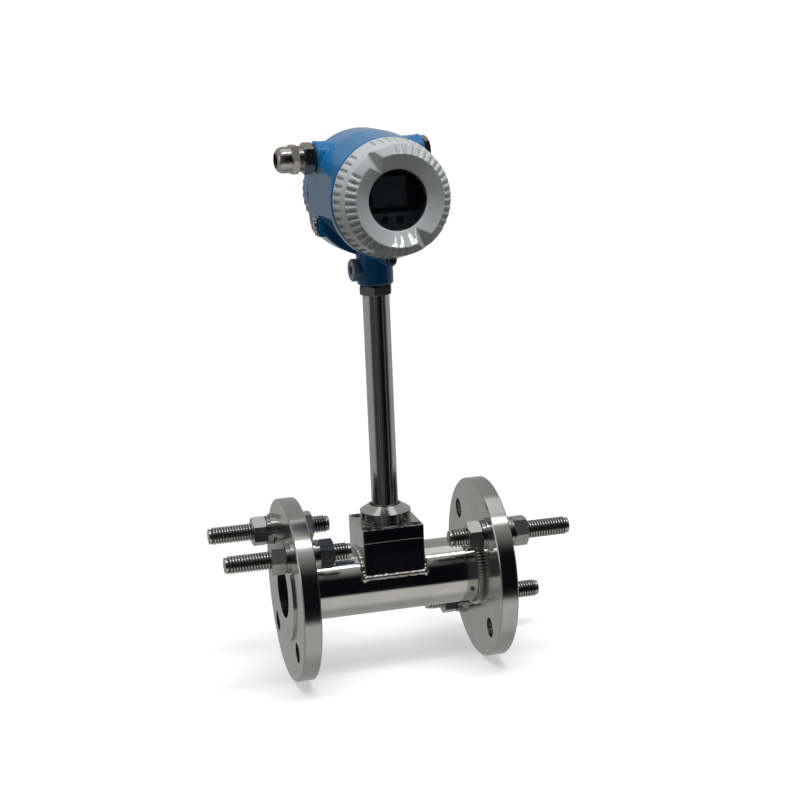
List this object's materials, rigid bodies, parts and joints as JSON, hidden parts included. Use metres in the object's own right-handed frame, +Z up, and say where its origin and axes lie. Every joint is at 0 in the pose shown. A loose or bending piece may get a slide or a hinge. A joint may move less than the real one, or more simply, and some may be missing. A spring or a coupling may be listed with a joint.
{
  "type": "vortex flow meter",
  "caption": "Flanged vortex flow meter: a short pipe with a sensor block and a tall stem that carries a transmitter head with a round display window, screw covers, cable gland and plug.",
  "frame": {"origin": "centre of the raised sealing face of the inlet flange", "axes": "+X along the flow from inlet to outlet, +Y to the back of the head, +Z up along the stem"},
  "size_m": [0.314, 0.165, 0.4885],
  "materials": {
    "stainless": "polished",
    "weld": "satin",
    "fastener_steel": "satin",
    "spring_steel": "satin",
    "blue_paint": "gloss",
    "grey_paint": "satin",
    "plated_brass": "satin",
    "screw_blue_grey": "satin",
    "retainer_metal": "satin",
    "seal_rubber": "matte",
    "graphite": "matte",
    "window": "gloss",
    "bezel_plastic": "matte",
    "lcd": "gloss",
    "button_rubber": "satin",
    "circuit_board": "satin",
    "terminal_plastic": "matte"
  },
  "bodies": {
    "base": {"meter_pipe": "stainless", "inlet_flange": "stainless", "outlet_flange": "stainless", "flange_welds": "weld", "shedder_bar": "stainless", "sensor_block": "stainless", "block_weld": "weld", "sensor_gasket": "graphite", "vortex_sensor": "stainless", "cap_plate": "stainless", "cap_screws": "spring_steel", "stem_collar": "stainless", "stem_tube": "stainless", "lock_nut": "spring_steel", "flange_studs": "fastener_steel", "stud_washers": "fastener_steel", "stud_spring_washers": "spring_steel", "stud_nuts": "fastener_steel"},
    "head": {"housing": "blue_paint", "swivel_lock_screw": "screw_blue_grey", "cover_lock_screw": "spring_steel", "earth_screw": "plated_brass", "earth_clamp": "plated_brass", "display_bezel": "bezel_plastic", "display_panel": "lcd", "display_board": "circuit_board", "board_pillars": "plated_brass", "main_board": "circuit_board", "terminal_block": "terminal_plastic", "terminal_screws": "plated_brass", "gland_seal": "seal_rubber", "gland_body": "plated_brass", "gland_insert": "seal_rubber", "gland_nut": "plated_brass", "plug_seal": "seal_rubber", "entry_plug": "plated_brass"},
    "front_seal": {"front_seal": "seal_rubber"},
    "front_cover": {"front_cover": "grey_paint", "window_gasket": "seal_rubber", "window_glass": "window", "glass_retainer": "retainer_metal"},
    "rear_seal": {"rear_seal": "seal_rubber"},
    "rear_cover": {"rear_cover": "blue_paint"},
    "left_button": {"left_button": "button_rubber"},
    "right_button": {"right_button": "button_rubber"}
  },
  "joints": [
    {"name": "head_swivel", "type": "hinge", "parent": "base", "child": "head", "pos_m": [0.098, 0, 0.271], "axis": [0, 0, 1], "range_deg": [-175, 175]},
    {"name": "front_cover_advance", "type": "slide", "parent": "head", "child": "front_seal", "axis": [0.0872, -0.9962, 0], "range_m": [0, 0.01005]},
    {"name": "front_cover_turn", "type": "hinge", "parent": "front_seal", "child": "front_cover", "pos_m": [0.10236, -0.04981, 0.351], "axis": [0.0872, -0.9962, 0], "range_deg": [0, 2400]},
    {"name": "rear_cover_advance", "type": "slide", "parent": "head", "child": "rear_seal", "axis": [-0.0872, 0.9962, 0], "range_m": [0, 0.00905]},
    {"name": "rear_cover_turn", "type": "hinge", "parent": "rear_seal", "child": "rear_cover", "pos_m": [0.09512, 0.03287, 0.351], "axis": [-0.0872, 0.9962, 0], "range_deg": [0, 2160]},
    {"name": "left_button_press", "type": "slide", "parent": "head", "child": "left_button", "axis": [-0.0872, 0.9962, 0], "range_m": [0, 0.0008], "stiffness_N_per_m": 400},
    {"name": "right_button_press", "type": "slide", "parent": "head", "child": "right_button", "axis": [-0.0872, 0.9962, 0], "range_m": [0, 0.0008], "stiffness_N_per_m": 400}
  ],
  "couplings": [
    {"joint": "front_cover_advance", "follows": "front_cover_turn", "m_per_rad": 0.00023873},
    {"joint": "rear_cover_advance", "follows": "rear_cover_turn", "m_per_rad": 0.00023873}
  ]
}
